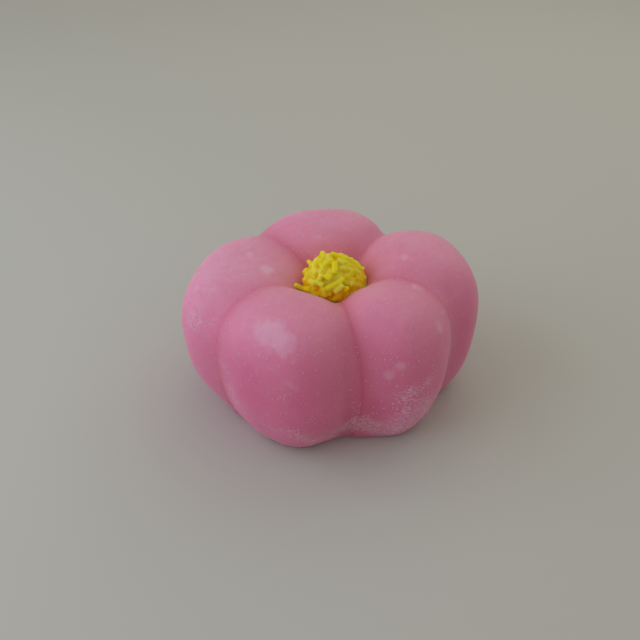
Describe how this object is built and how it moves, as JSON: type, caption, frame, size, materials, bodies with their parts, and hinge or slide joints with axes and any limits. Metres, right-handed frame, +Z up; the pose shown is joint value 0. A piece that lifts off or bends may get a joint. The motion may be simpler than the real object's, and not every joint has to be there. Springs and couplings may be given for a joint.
{
  "type": "plum-blossom wagashi",
  "caption": "Soft pink dough sweet pressed into a plum blossom, with a tuft of sieved yellow paste in its hollow, to be served with tea.",
  "frame": {"origin": "on the flat base, under the middle of the tuft", "axes": "+Z up out of the flower, -Y towards the crease between the two front petals, +X to the right seen from the front"},
  "size_m": [0.0503, 0.0449, 0.0276],
  "materials": {
    "pink_dough": "translucent pink rice dough, satin, lightly dusted with starch",
    "yellow_paste": "moist yellow bean paste pressed through a sieve, satin"
  },
  "bodies": {
    "root": {"dough": "pink_dough", "tuft": "yellow_paste"}
  },
  "joints": []
}
